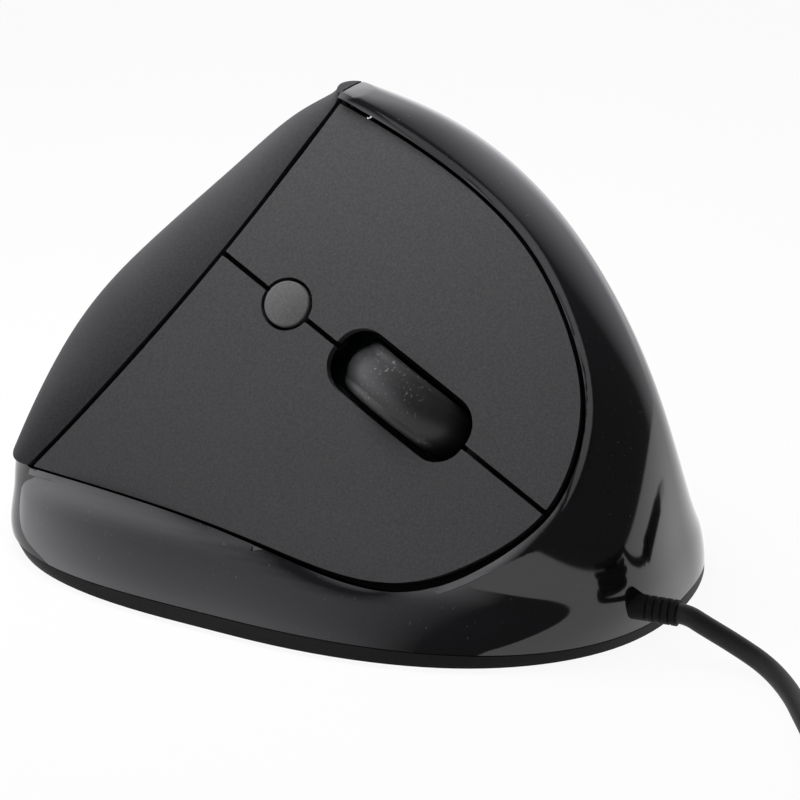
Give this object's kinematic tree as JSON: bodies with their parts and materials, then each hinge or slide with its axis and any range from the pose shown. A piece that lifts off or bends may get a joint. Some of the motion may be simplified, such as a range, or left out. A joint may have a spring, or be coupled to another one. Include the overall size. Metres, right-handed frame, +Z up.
{
  "type": "vertical ergonomic mouse",
  "caption": "Right-handed vertical computer mouse with sprung finger and thumb buttons, a turning and pressing wheel, a speed button and a cord with a plug, its spare length coiled.",
  "frame": {"origin": "centre of the mouse body without its cord, on the surface it stands on", "axes": "+X towards the side with the finger buttons, +Y towards the front where the cord leaves, +Z up"},
  "size_m": [0.1176, 0.2118, 0.0746],
  "materials": {
    "gloss_shell": "high gloss",
    "matt_cover": "fine matt grain",
    "button_plastic": "fine matt grain",
    "base_plastic": "matt",
    "wheel_rubber": "smooth matt",
    "inner_plastic": "moulded",
    "pin_steel": "plain",
    "screw_steel": "zinc plated",
    "circuit_board": "solder mask",
    "part_black": "moulded",
    "plunger_plastic": "moulded",
    "lens_clear": "clear",
    "lamp_clear": "clear",
    "foot_slide": "slippery",
    "cord_rubber": "fine matt",
    "tie_plastic": "soft",
    "plug_metal": "nickel plated",
    "ribbon_plastic": "satin"
  },
  "bodies": {
    "base": {"glossy_shell": "gloss_shell", "palm_cover": "matt_cover", "bottom_plate": "base_plastic", "index_hinge_pin": "pin_steel", "middle_hinge_pin": "pin_steel", "speed_switch": "part_black", "wheel_switch": "part_black", "encoder": "part_black", "chassis": "inner_plastic", "button_board": "circuit_board", "index_switch": "part_black", "middle_switch": "part_black", "forward_switch": "part_black", "back_switch": "part_black", "thumb_board": "circuit_board", "main_board": "circuit_board", "sensor_chip": "part_black", "sensor_lens": "lens_clear", "sensor_led": "lamp_clear", "controller_chip": "part_black", "cord_connector": "inner_plastic", "ribbon_cable": "ribbon_plastic", "case_screws": "screw_steel", "board_screws": "screw_steel", "cord_boot": "cord_rubber", "inner_lead": "cord_rubber", "cord_lead": "cord_rubber", "cord_coil": "cord_rubber", "cord_tie": "tie_plastic", "cord_tail": "cord_rubber", "plug_body": "base_plastic", "plug_shell": "plug_metal", "plug_tongue": "part_black", "front_foot": "foot_slide", "heel_foot": "foot_slide", "finger_foot": "foot_slide", "thumb_foot": "foot_slide"},
    "index_button": {"index_button": "button_plastic"},
    "middle_button": {"middle_button": "button_plastic"},
    "index_plunger": {"index_plunger": "plunger_plastic"},
    "middle_plunger": {"middle_plunger": "plunger_plastic"},
    "speed_button": {"speed_button": "button_plastic"},
    "speed_plunger": {"speed_plunger": "plunger_plastic"},
    "wheel_carrier": {"wheel_carrier": "inner_plastic"},
    "wheel": {"wheel_tyre": "wheel_rubber", "wheel_hub": "inner_plastic"},
    "wheel_plunger": {"wheel_plunger": "plunger_plastic"},
    "forward_button": {"forward_button": "button_plastic"},
    "forward_plunger": {"forward_plunger": "plunger_plastic"},
    "back_button": {"back_button": "button_plastic"},
    "back_plunger": {"back_plunger": "plunger_plastic"}
  },
  "joints": [
    {"name": "index_press", "type": "hinge", "parent": "base", "child": "index_button", "pos_m": [-0.00984, -0.01424, 0.05552], "axis": [-0.5417, 0.4176, 0.7294], "range_deg": [0, 0.55], "stiffness_Nm_per_rad": 2, "springref_deg": -0.34},
    {"name": "index_plunger_slide", "type": "slide", "parent": "base", "child": "index_plunger", "axis": [-0.8153, -0.0502, -0.5768], "range_m": [0, 0.00056]},
    {"name": "middle_press", "type": "hinge", "parent": "base", "child": "middle_button", "pos_m": [0.00614, -0.02656, 0.034], "axis": [-0.5417, 0.4176, 0.7294], "range_deg": [0, 0.55], "stiffness_Nm_per_rad": 2, "springref_deg": -0.34},
    {"name": "middle_plunger_slide", "type": "slide", "parent": "base", "child": "middle_plunger", "axis": [-0.8153, -0.0502, -0.5768], "range_m": [0, 0.00056]},
    {"name": "speed_press", "type": "slide", "parent": "base", "child": "speed_button", "axis": [-0.8153, -0.0502, -0.5768], "range_m": [0, 0.0003], "stiffness_N_per_m": 1500, "springref_m": -0.0003},
    {"name": "speed_plunger_slide", "type": "slide", "parent": "base", "child": "speed_plunger", "axis": [-0.8153, -0.0502, -0.5768], "range_m": [0, 0.0003]},
    {"name": "wheel_press", "type": "hinge", "parent": "base", "child": "wheel_carrier", "pos_m": [-0.00205, 0.01745, 0.03932], "axis": [0.2042, 0.9072, -0.3677], "range_deg": [0, 1.2], "stiffness_Nm_per_rad": 2, "springref_deg": -0.34},
    {"name": "wheel_turn", "type": "hinge", "parent": "wheel_carrier", "child": "wheel", "pos_m": [0.00402, 0.01277, 0.03115], "axis": [-0.5417, 0.4176, 0.7294], "continuous": true},
    {"name": "wheel_plunger_slide", "type": "slide", "parent": "base", "child": "wheel_plunger", "axis": [-0.8153, -0.0502, -0.5768], "range_m": [0, 0.00056]},
    {"name": "forward_press", "type": "slide", "parent": "base", "child": "forward_button", "axis": [1, 0, 0], "range_m": [0, 0.0003], "stiffness_N_per_m": 1500, "springref_m": -0.0003},
    {"name": "forward_plunger_slide", "type": "slide", "parent": "base", "child": "forward_plunger", "axis": [1, 0, 0], "range_m": [0, 0.0003]},
    {"name": "back_press", "type": "slide", "parent": "base", "child": "back_button", "axis": [1, 0, 0], "range_m": [0, 0.0003], "stiffness_N_per_m": 1500, "springref_m": -0.0003},
    {"name": "back_plunger_slide", "type": "slide", "parent": "base", "child": "back_plunger", "axis": [1, 0, 0], "range_m": [0, 0.0003]}
  ],
  "couplings": [
    {"joint": "index_plunger_slide", "follows": "index_press", "m_per_rad": 0.0538},
    {"joint": "middle_plunger_slide", "follows": "middle_press", "m_per_rad": 0.0538},
    {"joint": "speed_plunger_slide", "follows": "speed_press", "ratio": 1},
    {"joint": "wheel_plunger_slide", "follows": "wheel_press", "m_per_rad": 0.0264},
    {"joint": "forward_plunger_slide", "follows": "forward_press", "ratio": 1},
    {"joint": "back_plunger_slide", "follows": "back_press", "ratio": 1}
  ]
}
